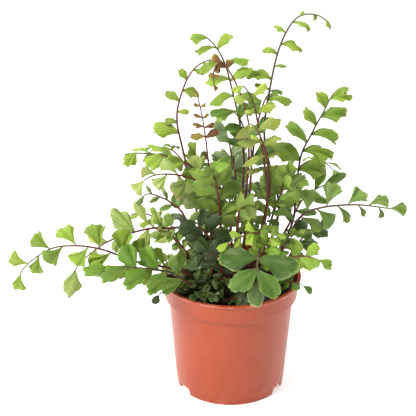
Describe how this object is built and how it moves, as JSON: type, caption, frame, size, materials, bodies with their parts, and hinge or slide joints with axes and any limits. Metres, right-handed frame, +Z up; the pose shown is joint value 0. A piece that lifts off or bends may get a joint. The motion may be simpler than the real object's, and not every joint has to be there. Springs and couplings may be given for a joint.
{
  "type": "potted fern",
  "caption": "Small potted fern: wiry dark stems with alternating fan-shaped lobed leaflets, arching out of soil in a tapered plastic nursery pot with a banded rim and notched foot.",
  "frame": {"origin": "middle of the plant's bounding box, at the level of the surface that the pot stands on; the pot's axis is 16 mm to +X and 23 mm to -Y of it", "axes": "+Z up along the pot's axis; the plant's front, with its largest leaflets over the rim, faces -Y; the longest frond reaches out to -X"},
  "size_m": [0.32, 0.2184, 0.3302],
  "materials": {
    "pot_plastic": "thin injection-moulded terracotta-coloured plastic with a satin surface",
    "potting_soil": "dark, loose, fibrous potting soil, matt",
    "leaf_bright": "bright yellow-green leaflets with a soft sheen on dark red-brown stems",
    "leaf_pale": "pale young leaflets with a light margin on dark red-brown stems",
    "leaf_mid": "mid green leaflets with a soft sheen on dark red-brown stems",
    "leaf_dark": "old dark blue-green leaflets, slightly glossy, on dark red-brown stems",
    "leaf_young_red": "red-brown leaflets of newly opened fronds on red stems"
  },
  "bodies": {
    "root": {"pot": "pot_plastic", "soil": "potting_soil", "frond_tall_right": "leaf_bright", "frond_tall_left": "leaf_bright", "frond_red_droop": "leaf_young_red", "frond_red_young": "leaf_young_red", "frond_thin_left": "leaf_mid", "frond_centre_top": "leaf_pale", "frond_right_upright": "leaf_mid", "frond_right_long": "leaf_mid", "frond_left_long": "leaf_bright", "frond_left_lower": "leaf_bright", "frond_left_red": "leaf_pale", "frond_front_big": "leaf_mid", "frond_front_bright": "leaf_bright", "frond_left_top": "leaf_bright", "frond_left_broad": "leaf_pale", "frond_centre_pale": "leaf_pale", "frond_centre_leaf": "leaf_mid", "frond_right_slender": "leaf_mid", "frond_right_mid": "leaf_mid", "frond_right_dark": "leaf_dark", "frond_right_bright": "leaf_bright", "frond_left_pale": "leaf_pale", "frond_left_mid": "leaf_mid", "frond_centre_bright": "leaf_bright", "frond_centre_mid": "leaf_pale", "frond_inner_dark": "leaf_dark", "frond_inner_low": "leaf_dark", "frond_back_dark": "leaf_dark", "frond_back_high": "leaf_mid", "frond_back_left": "leaf_mid", "frond_back_right": "leaf_bright", "frond_back_out": "leaf_mid", "frond_back_low": "leaf_bright", "frond_low_left": "leaf_dark", "frond_low_front": "leaf_dark", "frond_low_middle": "leaf_dark", "frond_low_right": "leaf_mid", "frond_low_back": "leaf_mid"}
  },
  "joints": []
}
